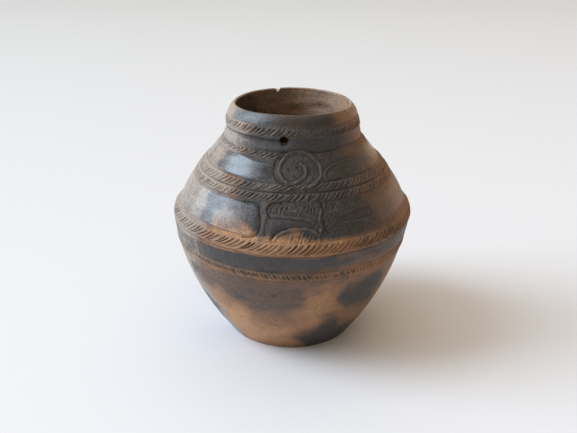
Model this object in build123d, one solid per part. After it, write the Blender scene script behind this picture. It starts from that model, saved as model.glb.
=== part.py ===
from build123d import *
from math import cos, radians, sin, sqrt
import os

# A round, hand-built clay pot with a rolled-in mouth, in millimetres.
# +Z is up, the origin is the middle of the flat foot, and -Y is the front.
# The wall is raised from six clay pieces on a base disc, each lapped over the
# next, and six applied cordons lie in shallow seats pressed into the wall.

# Outer surface: (height, radius) where one round stretch meets the next, and
# at a middle point of each stretch
foot_radius = 40.6
foot_bend = (2.3, 42.2)
foot_edge = (5.8, 44.5)
lower_wall_middle = (36.0, 62.5)
belly_low = (78.5, 75.05)
belly_middle = (83.8, 74.85)
belly_high = (90.0, 71.8)
shoulder_middle = (109.4, 59.7)
neck_root = (129.9, 42.4)
neck_middle = (138.0, 41.3)
neck_top = (144.6, 40.0)

# Rolled-in lip: (height, radius) of the points that it passes through
pot_height = 150.6
lip_shoulder = (148.5, 38.3)
lip_crest = (pot_height, 36.4)
lip_inside = (150.3, 35.3)
mouth_edge = (149.2, 35.0)

# Inner surface
wall = 6.0
floor_height = 7.0
floor_radius = 32.0
floor_bend_top = 9.0
throat = (131.0, 35.0)
throat_bend = (127.6, 35.8)
throat_start = 121.0

# Joints between the clay pieces, each hidden behind a cordon: height on the
# outer surface, how far a joint slopes down through the wall, and how far its
# cutting line runs on past both faces
lower_joint = 65.8
belly_joint = 83.8
shoulder_joint = 109.0
neck_joint = 127.9
lip_joint = 143.0
lap = 2.0
run_on = 2.0
clear_of_wall = 20.0

# Cordons: lowest and highest point of each, seat depth and relief
cordons = {
    "lower_cordon": (62.8, 68.8),
    "belly_cordon": (79.6, 88.0),
    "shoulder_cordon_low": (106.6, 111.4),
    "shoulder_cordon_high": (111.8, 116.4),
    "collar_foot_cordon": (126.2, 129.6),
    "neck_cordon": (139.7, 144.2),
}
seat_depth = 1.6
relief = 0.6

# Hole through the front of the neck, a little to the left
hole_radius = 2.65
hole_height = 136.7
hole_angle = -6.1
hole_start = 25.0
hole_length = 25.0


def arc_through(low, middle, high):
    """Centre height, centre radius and curve of the arc through three points."""
    (z1, r1), (z2, r2), (z3, r3) = low, middle, high
    cross = 2 * (r1 * (z2 - z3) + r2 * (z3 - z1) + r3 * (z1 - z2))
    s1, s2, s3 = r1**2 + z1**2, r2**2 + z2**2, r3**2 + z3**2
    centre_r = (s1 * (z2 - z3) + s2 * (z3 - z1) + s3 * (z1 - z2)) / cross
    centre_z = (s1 * (r3 - r2) + s2 * (r1 - r3) + s3 * (r2 - r1)) / cross
    return centre_z, centre_r, sqrt((r1 - centre_r) ** 2 + (z1 - centre_z) ** 2)


lower_wall_arc = arc_through(foot_edge, lower_wall_middle, belly_low)
belly_arc = arc_through(belly_low, belly_middle, belly_high)
shoulder_arc = arc_through(belly_high, shoulder_middle, neck_root)
neck_arc = arc_through(neck_root, neck_middle, neck_top)


def arc_at(height):
    """The round stretch of the outer surface that this height is on."""
    if height <= belly_low[0]:
        return lower_wall_arc
    if height <= belly_high[0]:
        return belly_arc
    if height <= neck_root[0]:
        return shoulder_arc
    return neck_arc


def on_arc(arc, height, depth=0.0):
    """(r, z) of the arc's point at this height, moved into the wall by the depth."""
    centre_z, centre_r, curve = arc
    rise = height - centre_z
    share = (curve - depth) / curve
    return Vector(centre_r + sqrt(curve**2 - rise**2) * share, centre_z + rise * share)


def wall_point(height, depth=0.0):
    """(r, z) of the outer surface at this height, moved into the wall by the depth."""
    return on_arc(arc_at(height), height, depth)


def stretch(arc, start, end, depth=0.0):
    """Edge along one round stretch between two heights."""
    middle = (start + end) / 2
    return ThreePointArc(on_arc(arc, start, depth), on_arc(arc, middle, depth), on_arc(arc, end, depth))


def rz(point):
    """A (height, radius) point as the (r, z) of the drawing plane."""
    return Vector(point[1], point[0])


def outer_line():
    """Outer surface from the foot up to the inner edge of the mouth."""
    return [
        ThreePointArc((foot_radius, 0), rz(foot_bend), rz(foot_edge)),
        stretch(lower_wall_arc, foot_edge[0], belly_low[0]),
        stretch(belly_arc, belly_low[0], belly_high[0]),
        stretch(shoulder_arc, belly_high[0], neck_root[0]),
        stretch(neck_arc, neck_root[0], neck_top[0]),
        ThreePointArc(rz(neck_top), rz(lip_shoulder), rz(lip_crest)),
        ThreePointArc(rz(lip_crest), rz(lip_inside), rz(mouth_edge)),
    ]


def inner_line():
    """Inner surface from the mouth down to the edge of the floor."""
    shoulder_in = on_arc(shoulder_arc, throat_start, wall)
    shoulder_end = on_arc(shoulder_arc, belly_high[0], wall)
    wall_start = on_arc(lower_wall_arc, belly_low[0], wall)
    belly_in = on_arc(belly_arc, belly_middle[0], wall)
    floor_bend = on_arc(lower_wall_arc, floor_bend_top, wall)
    return [
        Line(rz(mouth_edge), rz(throat)),
        ThreePointArc(rz(throat), rz(throat_bend), shoulder_in),
        stretch(shoulder_arc, throat_start, belly_high[0], wall),
        ThreePointArc(shoulder_end, belly_in, wall_start),
        stretch(lower_wall_arc, belly_low[0], floor_bend_top, wall),
        TangentArc((floor_radius, floor_height), floor_bend, tangent=(1, 0)),
    ]


def joint_ends(height):
    """Ends of the line that a joint follows, a little past both faces of the wall."""
    outside = wall_point(height)
    inside = wall_point(height - lap, wall)
    step = (outside - inside).normalized() * run_on
    return outside + step, inside - step


def band(low, high):
    """Part of the drawing plane between two joints."""
    low_out, low_in = joint_ends(low)
    high_out, high_in = joint_ends(high)
    far_out = Vector(belly_low[1] + clear_of_wall, (low + high) / 2)
    far_in = Vector(min(low_in.X, high_in.X) - clear_of_wall, (low_in.Y + high_in.Y) / 2)
    return make_face(Polyline(far_in, low_in, low_out, far_out, high_out, high_in, close=True))


def above(low):
    """Part of the drawing plane above a joint."""
    low_out, low_in = joint_ends(low)
    top = pot_height + clear_of_wall
    return make_face(Polyline(low_in, low_out, (low_out.X, top), (low_in.X, top), close=True))


def below(high):
    """Part of the drawing plane below a joint."""
    high_out, high_in = joint_ends(high)
    return make_face(Polyline((0, 0), (high_out.X, 0), high_out, high_in, (0, high_in.Y), close=True))


def turned(section):
    """Solid made by turning an (r, z) section about the pot's axis."""
    return revolve(Plane.XZ * section, Axis.Z)


def cordon_section(low, high):
    """Flat-backed strip with a gently crowned face."""
    crown = wall_point((low + high) / 2, -relief)
    edges = [
        Line(wall_point(low, seat_depth), wall_point(low)),
        ThreePointArc(wall_point(low), crown, wall_point(high)),
        Line(wall_point(high), wall_point(high, seat_depth)),
        Line(wall_point(high, seat_depth), wall_point(low, seat_depth)),
    ]
    return make_face(Curve() + edges)


def base_section():
    """Flat disc with a rounded outer edge, on which the wall stands."""
    edges = [
        Line((0, 0), (foot_radius, 0)),
        ThreePointArc((foot_radius, 0), rz(foot_bend), rz(foot_edge)),
        Line(rz(foot_edge), (floor_radius, floor_height)),
        Line((floor_radius, floor_height), (0, floor_height)),
        Line((0, floor_height), (0, 0)),
    ]
    return make_face(Curve() + edges)


def wall_section():
    """Whole wall above the base disc, with the seats of the cordons taken out."""
    closing = Line((floor_radius, floor_height), rz(foot_edge))
    section = make_face(Curve() + outer_line()[1:] + inner_line() + [closing])
    for low, high in cordons.values():
        section -= cordon_section(low, high)
    return section


def neck_hole():
    """Round hole bored straight out through the neck."""
    angle = radians(hole_angle)
    outward = Vector(sin(angle), -cos(angle), 0)
    start = Plane(origin=outward * hole_start + Vector(0, 0, hole_height), z_dir=outward)
    return start * Cylinder(hole_radius, hole_length, align=(Align.CENTER, Align.CENTER, Align.MIN))


def wall_pieces():
    """The base disc and the clay pieces of the wall, from the foot up."""
    section = wall_section()
    return {
        "base_disc": turned(base_section()),
        "lower_wall": turned(section & below(lower_joint)),
        "belly_coil": turned(section & band(lower_joint, belly_joint)),
        "shoulder_wall": turned(section & band(belly_joint, shoulder_joint)),
        "upper_shoulder": turned(section & band(shoulder_joint, neck_joint)),
        "neck_collar": turned(section & band(neck_joint, lip_joint)) - neck_hole(),
        "rim_coil": turned(section & above(lip_joint)),
    }


def cordon_pieces():
    """The applied cordons, one ring each."""
    return {name: turned(cordon_section(low, high)) for name, (low, high) in cordons.items()}


def main():
    os.makedirs("parts", exist_ok=True)
    for name, solid in {**wall_pieces(), **cordon_pieces()}.items():
        solid.label = name
        export_step(solid, f"parts/{name}.step")


main()
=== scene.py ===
import math

import bpy
import numpy as np
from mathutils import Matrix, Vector


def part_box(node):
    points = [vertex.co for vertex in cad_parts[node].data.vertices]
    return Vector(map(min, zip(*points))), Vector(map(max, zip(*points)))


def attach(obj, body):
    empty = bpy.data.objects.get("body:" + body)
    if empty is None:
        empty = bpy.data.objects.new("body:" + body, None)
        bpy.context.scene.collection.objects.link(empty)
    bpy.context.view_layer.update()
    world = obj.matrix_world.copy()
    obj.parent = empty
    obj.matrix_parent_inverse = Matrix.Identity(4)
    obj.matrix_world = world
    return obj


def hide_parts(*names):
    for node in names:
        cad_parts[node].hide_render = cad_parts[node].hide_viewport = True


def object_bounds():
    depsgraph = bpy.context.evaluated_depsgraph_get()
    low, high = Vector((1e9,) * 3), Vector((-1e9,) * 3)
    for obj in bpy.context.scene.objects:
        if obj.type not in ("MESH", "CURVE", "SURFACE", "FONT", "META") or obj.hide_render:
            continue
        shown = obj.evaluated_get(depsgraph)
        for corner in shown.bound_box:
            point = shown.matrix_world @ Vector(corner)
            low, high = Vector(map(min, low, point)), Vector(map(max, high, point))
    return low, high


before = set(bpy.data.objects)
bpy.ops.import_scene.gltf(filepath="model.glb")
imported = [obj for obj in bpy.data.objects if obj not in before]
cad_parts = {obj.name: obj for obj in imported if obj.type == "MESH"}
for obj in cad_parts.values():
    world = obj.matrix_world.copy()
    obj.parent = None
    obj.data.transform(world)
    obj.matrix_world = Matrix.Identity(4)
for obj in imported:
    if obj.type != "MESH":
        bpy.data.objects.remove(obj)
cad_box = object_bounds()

# A hand-built clay pot. Every piece of clay is a fine mesh on a grid of angle
# and height: the CAD pot's round outline, moved in and out along its normal by
# the tooled strokes, carved lines and hand-made unevenness. Lengths are in
# millimetres until a mesh is made. Angles are in degrees round the pot: 0 is
# the front (-Y), positive to the right (+X).

MM = 0.001


# ---- The outline

def top_corner(node):
    """Highest x, y and z of a CAD body, in millimetres."""
    return [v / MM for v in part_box(node)[1]]


base_reach, _, floor_height = top_corner("base_disc")

# (height, radius) points that the turned outline passes through
pot_height = cad_box[1][2] / MM
foot_radius = 40.6
foot_bend = (2.3, 42.2)
foot_edge = (5.8, base_reach)
lower_middle = (36.0, 62.5)
belly_low = (78.5, 75.05)
belly_middle = (83.8, 74.85)
belly_high = (90.0, 71.8)
shoulder_middle = (109.4, 59.7)
neck_root = (129.9, 42.4)
neck_middle = (138.0, 41.3)
neck_top = (144.6, 40.0)
lip_shoulder = (148.5, 38.3)
lip_crest = (pot_height, 36.4)
lip_inside = (pot_height - 0.3, 35.3)
mouth_edge = (149.2, 35.0)
throat = (131.0, 35.0)
throat_bend = (127.6, 35.8)
throat_start = 121.0
floor_edge = (floor_height, 32.0)
floor_bend_top = 9.0
floor_bend_in = (-0.55, 0.4)
wall = 6.0

# Joints between the wall's pieces: mark on the outside, and slope through the wall
lower_joint, belly_joint, shoulder_joint, neck_joint, lip_joint = 65.8, 83.8, 109.0, 127.9, 143.0
lap = 2.0

# Lowest and highest mark of each cordon, and the depth of the seats that hold them
CORDONS = {
    "lower_cordon": (62.8, 68.8),
    "belly_cordon": (79.6, 88.0),
    "shoulder_cordon_low": (106.6, 111.4),
    "shoulder_cordon_high": (111.8, 116.4),
    "collar_foot_cordon": (126.2, 129.6),
    "neck_cordon": (139.7, 144.2),
}
seat_depth = 1.6


def arc_line(low, middle, high, depth=0.0):
    """Close points along the arc through three (height, radius) points, moved into it."""
    spacing = 0.05
    (z1, r1), (z2, r2), (z3, r3) = low, middle, high
    cross = 2 * (r1 * (z2 - z3) + r2 * (z3 - z1) + r3 * (z1 - z2))
    s1, s2, s3 = r1**2 + z1**2, r2**2 + z2**2, r3**2 + z3**2
    centre_r = (s1 * (z2 - z3) + s2 * (z3 - z1) + s3 * (z1 - z2)) / cross
    centre_z = (s1 * (r3 - r2) + s2 * (r1 - r3) + s3 * (r2 - r1)) / cross
    curve = math.hypot(r1 - centre_r, z1 - centre_z)
    angles = np.unwrap([math.atan2(z - centre_z, r - centre_r) for z, r in (low, middle, high)])
    count = max(3, int(abs(angles[2] - angles[0]) * curve / spacing))
    turn = np.linspace(angles[0], angles[2], count)
    reach = curve - depth
    return np.column_stack([centre_z + reach * np.sin(turn), centre_r + reach * np.cos(turn)])


lower_arc = (foot_edge, lower_middle, belly_low)
belly_arc = (belly_low, belly_middle, belly_high)
shoulder_arc = (belly_high, shoulder_middle, neck_root)
lower_in, belly_in, shoulder_in = (
    arc_line(*arc, wall) for arc in (lower_arc, belly_arc, shoulder_arc))
lower_in = lower_in[lower_in[:, 0] > floor_bend_top]
shoulder_in = shoulder_in[shoulder_in[:, 0] < throat_start]
floor_bend = (lower_in[0] + floor_edge) / 2 + floor_bend_in
profile = np.vstack([
    arc_line((0.0, foot_radius), foot_bend, foot_edge),
    arc_line(*lower_arc),
    arc_line(*belly_arc),
    arc_line(*shoulder_arc),
    arc_line(neck_root, neck_middle, neck_top),
    arc_line(neck_top, lip_shoulder, lip_crest),
    arc_line(lip_crest, lip_inside, mouth_edge),
    np.linspace(mouth_edge, throat, 300),
    arc_line(throat, throat_bend, tuple(shoulder_in[-1])),
    shoulder_in[::-1], belly_in[::-1], lower_in[::-1],
    arc_line(tuple(lower_in[0]), tuple(floor_bend), floor_edge),
])
steps = np.hypot(*np.diff(profile, axis=0).T)
profile = profile[np.concatenate([[True], steps > 1e-3])]

# Each point of the outline is named by its mark: its height up the outside, and
# from the lip on the distance along the outline, over the lip and down the inside.
edge_z, edge_r = profile.T
edge_s = np.concatenate([[0.0], np.cumsum(np.hypot(np.diff(edge_z), np.diff(edge_r)))])
lip_start = int(np.argmax(edge_z >= neck_top[0]))
past_lip = np.arange(len(edge_z)) >= lip_start
edge_mark = np.where(past_lip, neck_top[0] + edge_s - edge_s[lip_start], edge_z)
reach = 0.25
tangent_z, tangent_r = (
    np.interp(edge_s + reach, edge_s, line) - np.interp(edge_s - reach, edge_s, line)
    for line in (edge_z, edge_r))
tangent = np.hypot(tangent_z, tangent_r)


def outline(mark):
    """Radius and height of the outline at these marks, and its outward normal (r, z)."""
    lines = (edge_r, edge_z, tangent_z / tangent, -tangent_r / tangent)
    return [np.interp(mark, edge_mark, line) for line in lines]


def along_wall(mark):
    """Distance along the outline from the foot to these marks."""
    return np.interp(mark, edge_mark, edge_s)


def inner_mark(height):
    """Mark of the inside of the wall at a height."""
    down_inside = edge_mark > neck_top[0] + 12.0
    return float(np.interp(-height, -edge_z[down_inside], edge_mark[down_inside]))


# ---- Noise and soft edges

def smooth(low, high, value):
    """0 below low, 1 above high, smooth between."""
    t = np.clip((value - low) / (high - low), 0.0, 1.0)
    return t * t * (3.0 - 2.0 * t)


def unit(value):
    return np.clip(value, 0.0, 1.0)


def band(value, low, high, soft):
    """1 between low and high, fading to 0 over the soft width at both ends."""
    return smooth(low - soft, low + soft, value) * (1.0 - smooth(high - soft, high + soft, value))


def bell(distance, width):
    return np.exp(-((distance / width) ** 2))


def around(angle, other):
    """Signed angle from one to the other, -180 to 180."""
    return (angle - other + 180.0) % 360.0 - 180.0


def waves(x, y, z, size, seed, count=14):
    """Smooth seeded noise, about -1 to 1, with bumps of about this size."""
    chance = np.random.default_rng(seed)
    total = np.zeros(np.broadcast(x, y, z).shape)
    for _ in range(count):
        way = chance.normal(size=3)
        way *= chance.uniform(0.6, 1.5) / np.linalg.norm(way) * 2 * math.pi / size
        phase = chance.uniform(0, 2 * math.pi)
        total += np.sin(x * way[0] + y * way[1] + z * way[2] + phase)
    return total / math.sqrt(count)


# ---- Lines drawn on the wall

def rounded(points, steps=7):
    """Points along the smooth curve through a few drawn points."""
    points = np.array(points, float)
    padded = np.vstack([2 * points[0] - points[1], points, 2 * points[-1] - points[-2]])
    t = np.linspace(0.0, 1.0, steps, endpoint=False)[:, None]
    pieces = []
    for a, b, c, d in zip(padded[:-3], padded[1:-2], padded[2:-1], padded[3:]):
        pieces.append(0.5 * (2 * b + (c - a) * t + (2 * a - 5 * b + 4 * c - d) * t**2
                             + (3 * b - a - 3 * c + d) * t**3))
    return np.vstack(pieces + [points[-1:]])


FAR = 99.0


def line_distance(angle, mark, line, turn=0.0, reach=5.0):
    """Distance from every point of the grid to a drawn line, FAR where it is out of reach."""
    middle = line[:, 0].mean()
    x = np.radians(around(angle, middle + turn)) * outline(mark)[0]
    y = np.broadcast_to(along_wall(mark), x.shape)
    line_x = np.radians(line[:, 0] - middle) * outline(line[:, 1])[0]
    line_y = along_wall(line[:, 1])
    near = (x > line_x.min() - reach) & (x < line_x.max() + reach)
    near &= (y > line_y.min() - reach) & (y < line_y.max() + reach)
    px, py = x[near], y[near]
    best = np.full(px.shape, FAR)
    for x1, y1, x2, y2 in zip(line_x[:-1], line_y[:-1], line_x[1:], line_y[1:]):
        dx, dy = x2 - x1, y2 - y1
        t = unit(((px - x1) * dx + (py - y1) * dy) / (dx * dx + dy * dy))
        best = np.minimum(best, np.hypot(px - x1 - t * dx, py - y1 - t * dy))
    nearest = np.full(x.shape, FAR)
    nearest[near] = best
    return nearest


def inside(angle, mark, points, turn=0.0):
    """Signed distance to a closed outline drawn on the wall, positive inside."""
    line = rounded(list(points) + [points[0]], 5)
    gap = line_distance(angle, mark, line, turn, 12.0)
    middle, spread = line.mean(axis=0), np.ptp(line, axis=0)
    x, y = np.broadcast_arrays(around(angle, middle[0] + turn), mark)
    near = (gap < FAR) | ((np.abs(x) < spread[0]) & (np.abs(y - middle[1]) < spread[1]))
    px, py = x[near], y[near]
    hit = np.zeros(px.shape, bool)
    for (x1, y1), (x2, y2) in zip(line[:-1] - (middle[0], 0), line[1:] - (middle[0], 0)):
        if y1 != y2:
            crossing = (x2 - x1) * (py - y1) / (y2 - y1) + x1
            hit ^= ((y1 > py) != (y2 > py)) & (px < crossing)
    within = np.zeros(x.shape, bool)
    within[near] = hit
    return np.where(within, gap, -gap)


def strokes(angle, across, radius, spacing, slant, length, width, seed, flatter):
    """Tooled strokes right round a band: how deep each point is cut, 0 to about 1.

    across is the distance up from the middle of the band, spacing the distance
    between strokes along it, slant how far a stroke leans for each step up, and
    flatter stretches that lean. Clay pushed up beside a stroke is below 0.
    """
    pushed_up, end_soft = 0.4, 0.5
    count = int(round(2 * math.pi * float(np.mean(radius)) / spacing))
    chance = np.random.default_rng(seed)
    nudge = chance.uniform(-0.26, 0.26, count)
    force = chance.uniform(0.5, 1.0, count)
    lean = slant * chance.uniform(0.82, 1.18, count)
    top = length / 2 * chance.uniform(0.8, 1.15, count)
    bottom = -length / 2 * chance.uniform(0.8, 1.15, count)
    step = 360.0 / count
    cut = np.zeros(np.broadcast(angle, across, radius).shape)
    bent = across * (1.0 - 0.1 * across / (0.2 + length / 5.6)) * flatter
    nearest = np.floor((angle - np.degrees(bent * slant / radius)) / step).astype(int)
    for shift in (-1, 0, 1, 2):
        number = nearest + shift
        which = number % count
        middle = (number + nudge[which]) * step
        gap = np.radians(angle - middle) * radius - bent * lean[which]
        gap = gap / np.hypot(1.0, slant)
        body = bell(gap, width) - pushed_up * bell(np.abs(gap) - 2.0 * width, 0.8 * width)
        low, high = bottom[which], top[which]
        ends = smooth(low - end_soft, low + end_soft, across)
        ends = ends * (1.0 - smooth(high - end_soft, high + end_soft, across))
        this = body * ends * force[which]
        cut = np.where(np.abs(this) > np.abs(cut), this, cut)
    return cut


# ---- The decoration, drawn by hand: lines are lists of (angle, mark)

# Marks of the ring lines at these angles: hand-drawn rings wander up and down
RING_ANGLES = (-180, -120, -55, -30, 0, 30, 60, 120)
RINGS = {
    "neck_band": (141.2, 141.6, 141.9, 141.7, 140.9, 140, 139.9, 140.6),
    "collar_foot": (128.4, 128.6, 129, 128.9, 128.4, 128, 127.9, 128.2),
    "panel_foot": (116.4, 116.8, 117.3, 116.5, 115.9, 116.2, 116.6, 116.3),
    "shoulder_high": (113.7, 113.8, 113.9, 113.9, 113.5, 113.5, 113.9, 113.9),
    "middle_line": (111.5, 111.7, 112.1, 111.7, 111.6, 111.3, 111.5, 111.6),
    "shoulder_low": (109.2, 109.2, 109, 109.1, 109.2, 109.1, 109.1, 109.3),
    "panel_head": (106.9, 106.9, 107.1, 106.8, 107.2, 107, 106.8, 106.9),
    "belly_top": (88.2, 88.6, 89.3, 88.2, 87.2, 87.4, 88, 88.4),
    "belly_band": (84.2, 84.6, 85.6, 85, 83.6, 83.6, 83.6, 84),
    "belly_foot": (80.2, 80.6, 81.4, 80.7, 79.2, 79.4, 79.6, 80),
    "lower_top": (69, 69.3, 70.2, 69.3, 68.5, 68.2, 67.9, 68.6),
    "lower_band": (66, 66.4, 67.4, 66.4, 65.6, 65.3, 64.9, 65.6),
    "lower_foot": (62.6, 62.8, 63.6, 62.7, 62, 61.9, 61.6, 62.2),
}

SPIRAL = [(5.6, 125.4), (8.4, 124), (9.1, 121.8), (7.6, 119.6), (4.6, 117.8), (1, 116.5),
          (-2.6, 116.4), (-6, 118.4), (-8.6, 121), (-9.3, 123), (-8.2, 125.6), (-5.8, 128),
          (-2.2, 129.9), (2.4, 130.7), (7.4, 130.6), (12, 129.7), (16.2, 127.8), (18.8, 124.8),
          (19.3, 121.8), (17.8, 118.6), (14.6, 116.3), (10.4, 114.7), (5.8, 113.6)]
# Middle of the spiral's smooth field, and its half width and half height
SPIRAL_MIDDLE = (4.8, 123)
SPIRAL_SIZE = (12.6, 11.2)

# Raised lines: points, half width, height
RIDGES = {
    "spiral": (SPIRAL, 0.72, 0.52),
    "spiral_echo": ([(10, 128.2), (12.8, 125.6), (13.6, 122.4), (12.6, 119.4),
        (9.8, 117)], 0.6, 0.14),
    "arrow_head": ([(48, 124.3), (40, 124.2), (31, 123.5), (25, 122.4), (21.6, 120.6),
        (20.6, 119.2), (21.4, 117.4), (21, 115.4)], 0.6, 0.3),
    "left_rib": ([(-14.2, 106), (-13.8, 101), (-13.8, 96), (-14.5, 92.2), (-16, 89.4),
        (-16.8, 87.6)], 1.4, 0.22),
    "right_rib": ([(14.7, 103.2), (13.3, 100), (13.1, 97), (13.9, 95), (13, 93),
        (12.4, 90.6), (11.8, 87.6)], 0.62, 0.52),
    "right_rib_top": ([(16, 107.6), (16.6, 105.8), (16.2, 103.4)], 0.6, 0.42),
    "lens_foot": ([(-11, 100.6), (-6, 100.3), (0, 99.7), (5, 99.1), (8.4, 98.2),
        (10.2, 96.8)], 0.6, 0.26),
    "half_moon": ([(-8.6, 89), (-7.2, 91.2), (-4.6, 92.9), (-1, 93.9), (3.2, 94.4),
        (7.2, 94), (10, 92.8), (11.6, 90.8)], 0.7, 0.36),
    "side_curve": ([(22.4, 94.6), (27, 95.4), (33, 95.4), (38.5, 93.8), (42, 91.4),
        (44.5, 88.6)], 0.65, 0.2),
    "side_top": ([(22.6, 99), (29, 100.2), (36, 101), (41, 101.2)], 0.6, 0.16),
    "side_rib": ([(42.6, 104), (43.6, 99), (44.2, 94), (45.6, 89.6)], 0.65, 0.2),
}
CRUSTY = ("right_rib", "right_rib_top")

# Cut lines: points, half width, depth
GROOVES = [
    ([(-6.4, 130.6), (-9.6, 129), (-12, 126.4), (-12.4, 122.8), (-11.4, 119.6), (-9, 117.2),
     (-4.6, 115.2), (0.6, 114.9)], 0.8, 0.5),
    ([(-26, 105.9), (-20, 105.8), (-17.8, 104.6), (-16.6, 101), (-15.7, 97), (-15.7, 93.6),
     (-16.6, 91), (-19.2, 89.4), (-23, 88.9)], 0.62, 0.75),
    ([(-5.6, 107), (-9.4, 106.5), (-12, 105.2), (-12.9, 103), (-12.2, 101.2),
     (-10.8, 100)], 0.7, 0.7),
    ([(-5, 105.9), (-8.6, 105.6), (-10.9, 104), (-10.9, 102.2)], 0.5, 0.35),
    ([(-9.8, 88.8), (-8.6, 91), (-6, 93), (-3, 94.6)], 0.7, 0.45),
    ([(15, 98), (14.9, 95.6), (15.4, 93.6), (16.6, 91.4)], 0.6, 0.5),
    ([(14.6, 106.4), (15.4, 104.6), (15.2, 102.6)], 0.6, 0.35),
    ([(3, 124), (3.6, 123.4)], 0.6, 0.4),
    ([(-2.8, 123.2), (-2.4, 122.8)], 0.6, 0.35),
    ([(1.2, 119.6), (2.2, 119.2)], 0.6, 0.2),
]

# Smooth burnished panels between the bands
PANELS = [
    [(-124, 122), (-121, 126), (-90, 126.6), (-46, 126.8), (-36, 126.4), (-27, 125.2),
     (-16, 124.6), (-13.6, 121.5), (-14, 118.4), (-20, 116.9), (-36, 117.2), (-60, 117.8),
     (-90, 117.4), (-121, 117.8)],
    [(22.4, 119.4), (27, 121.9), (36, 123.3), (48, 123.4), (56, 122.6), (58, 120), (56, 117.6),
     (46, 117), (34, 116.8), (24, 116.6)],
    [(-135, 98), (-133, 104.8), (-100, 105.8), (-70, 106.2), (-40, 106), (-25, 105),
     (-19, 103.8), (-17.2, 97), (-17.8, 92.2), (-22, 90), (-38, 90.4), (-60, 90.6),
     (-100, 90.2), (-133, 91)],
    [(-12.4, 98.6), (-4, 98.8), (4, 97.8), (10, 95.6), (9, 94.8), (3, 95.4), (-3, 94.6),
     (-8, 91.6), (-10, 89.6), (-12.6, 91), (-12.8, 95)],
    [(23.4, 97.6), (30, 99), (37, 99.9), (41.6, 99.4), (41, 96.4), (36, 96.4), (29, 96.4)],
]

# Hatched fields: outline, spacing, slant, depth
HATCHES = [
    ([(-9.6, 104.2), (-6, 105.6), (3, 105.8), (12, 105.4), (13, 101.6), (8.6, 100.4), (0, 101.2),
     (-8, 101.8)], 2.35, 0.42, 0.6),
    ([(-1.6, 91), (1, 92.6), (5, 92.8), (9, 91.6), (11, 89.4), (10, 87.8),
     (-1, 87.8)], 2.2, 0.35, 0.5),
    ([(15.6, 103.6), (17, 106.6), (30, 106.4), (41, 105.8), (41.6, 102), (30, 101.4),
     (23, 100), (21.8, 95.6), (22, 90), (16.6, 89), (16.2, 96)], 2.5, 0.45, 0.3),
    ([(21, 93.6), (28, 94.4), (35, 94.2), (40, 91.6), (42, 88.8), (22, 88.8)], 2.7, 0.55, 0.22),
]
# The carved motifs are drawn at the front and once more at the back
MOTIF_TURNS = (0.0, 180.0)
MOTIF_MARKS = (85.0, 133.0)

# Bands of tooled strokes, each a slightly swollen strip: ring, half width,
# swelling, spacing, slant, stroke length, stroke width, depth, seed
BANDS = [
    ("neck_band", 2.2, 0.28, 2.95, 1.15, 4.0, 0.40, 0.60, 41),
    ("collar_foot", 1.5, 0.28, 3.3, 1.35, 3.3, 0.38, 0.55, 42),
    ("shoulder_high", 1.9, 0.28, 3.7, 1.1, 4.0, 0.42, 0.60, 43),
    ("shoulder_low", 1.8, 0.28, 3.0, 1.05, 3.6, 0.42, 0.60, 44),
    ("belly_band", 3.2, 0.42, 3.4, 1.4, 5.0, 0.40, 0.72, 45),
    ("lower_band", 1.9, 0.26, 2.4, -0.7, 2.8, 0.42, 0.70, 46),
]
# Ring grooves: ring, offset, half width, depth
RING_GROOVES = [
    ("middle_line", 0.0, 0.42, 0.42), ("panel_head", 0.2, 0.4, 0.32), ("panel_foot", 0.0, 0.4, 0.3),
    ("belly_top", 0.3, 0.5, 0.12), ("belly_foot", 0.0, 0.5, 0.24), ("lower_foot", -0.2, 0.6, 0.16),
    ("lower_top", 0.2, 0.5, 0.14),
]

# Hole bored through the neck
HOLE_ANGLE = -6.1
HOLE_HEIGHT = 136.7
HOLE_RADIUS = 2.65

# Pits: angle, mark, half width, depth
PITS = [
    (27.4, 61.0, 1.25, 0.8), (-8.6, 30.5, 0.7, 0.5), (-7.4, 52.3, 0.6, 0.4),
    (-50.6, 68.4, 0.65, 0.5), (-48.4, 66.9, 0.75, 0.55), (-55.0, 69.4, 0.5, 0.4),
    (96.0, 40.0, 0.8, 0.5), (-128.0, 52.0, 0.9, 0.5), (172.0, 24.0, 0.7, 0.4),
]
SCRATCH = [(-30, 29.2), (-22, 28.4), (-14, 27.4), (-8, 26.4)]
SCRAPE = [(-50.2, 79.6), (-49.4, 75.0), (-49.0, 69.6)]
NOTCH_ANGLE = -164.4
NOTCH_MARK = 152.4

# Sectors of the pot: first angle, last angle, softness
FADED_SIDE = (44.0, 122.0, 8.0)
SMOKED_FRONT = (-38.0, 41.0, 14.0)
# The left side, facing the window: painted paler, tan and ashy grey, for the window's light and
# sheen
WINDOW_LIT_LEFT = (-125.0, -38.0, 8.0)

# Hollows of the hand-made wall: mark, half height, depth
HOLLOWS = [(90.5, 4.5, 0.8), (120.5, 5.0, 0.6)]

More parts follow.
